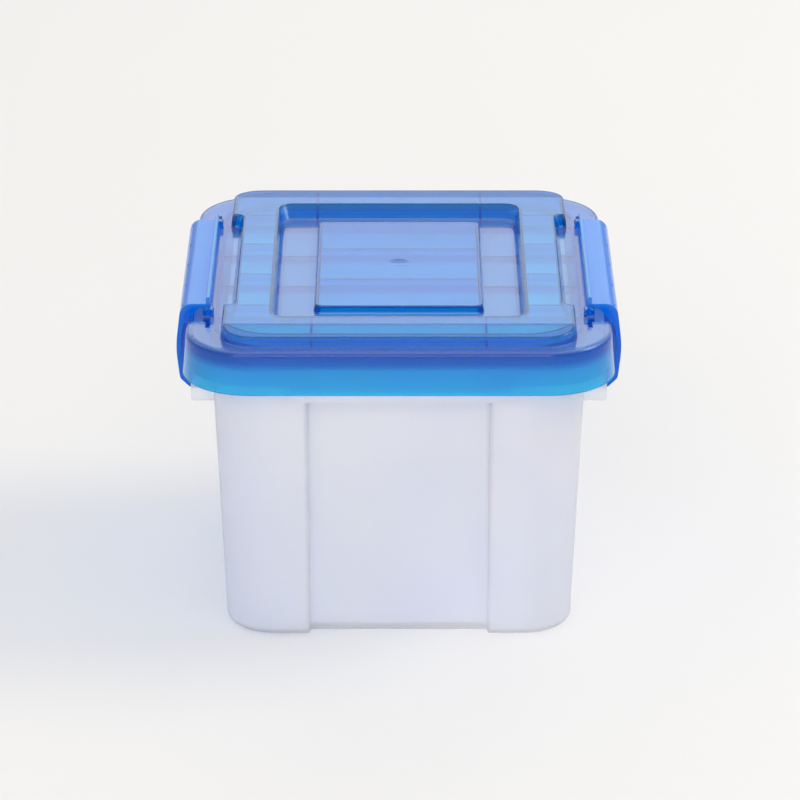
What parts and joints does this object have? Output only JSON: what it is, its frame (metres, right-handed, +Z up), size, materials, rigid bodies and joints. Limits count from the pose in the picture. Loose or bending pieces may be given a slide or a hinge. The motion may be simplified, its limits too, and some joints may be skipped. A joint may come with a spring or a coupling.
{
  "type": "latching storage box",
  "caption": "Small rectangular plastic storage box: clear tapered tub with corner columns, raised-frame lid, and a hinged latch on each side.",
  "frame": {"origin": "middle of the box's footprint, at the plane it stands on", "axes": "+Z up, +Y along the longest side, +X across the box towards the right-hand latch"},
  "size_m": [0.2356, 0.2488, 0.178],
  "materials": {
    "clear_tub": "semi-gloss, milky translucent",
    "blue_lid": "semi-gloss, translucent",
    "blue_latch": "semi-gloss, translucent"
  },
  "bodies": {
    "tub": {"tub": "clear_tub"},
    "lid": {"lid": "blue_lid"},
    "latch_left": {"latch_left": "blue_latch"},
    "latch_right": {"latch_right": "blue_latch"}
  },
  "joints": [
    {"name": "lid_lift", "type": "slide", "parent": "tub", "child": "lid", "axis": [0, 0, 1], "range_m": [0, 0.046]},
    {"name": "latch_left_hinge", "type": "hinge", "parent": "lid", "child": "latch_left", "pos_m": [-0.1008, 0, 0.1705], "axis": [0, 1, 0], "range_deg": [0, 90]},
    {"name": "latch_right_hinge", "type": "hinge", "parent": "lid", "child": "latch_right", "pos_m": [0.1008, 0, 0.1705], "axis": [0, -1, 0], "range_deg": [0, 90]}
  ],
  "couplings": [
    {"joint": "latch_left_hinge", "follows": "lid_lift", "rad_per_m": 34.14},
    {"joint": "latch_right_hinge", "follows": "lid_lift", "rad_per_m": 34.14}
  ]
}
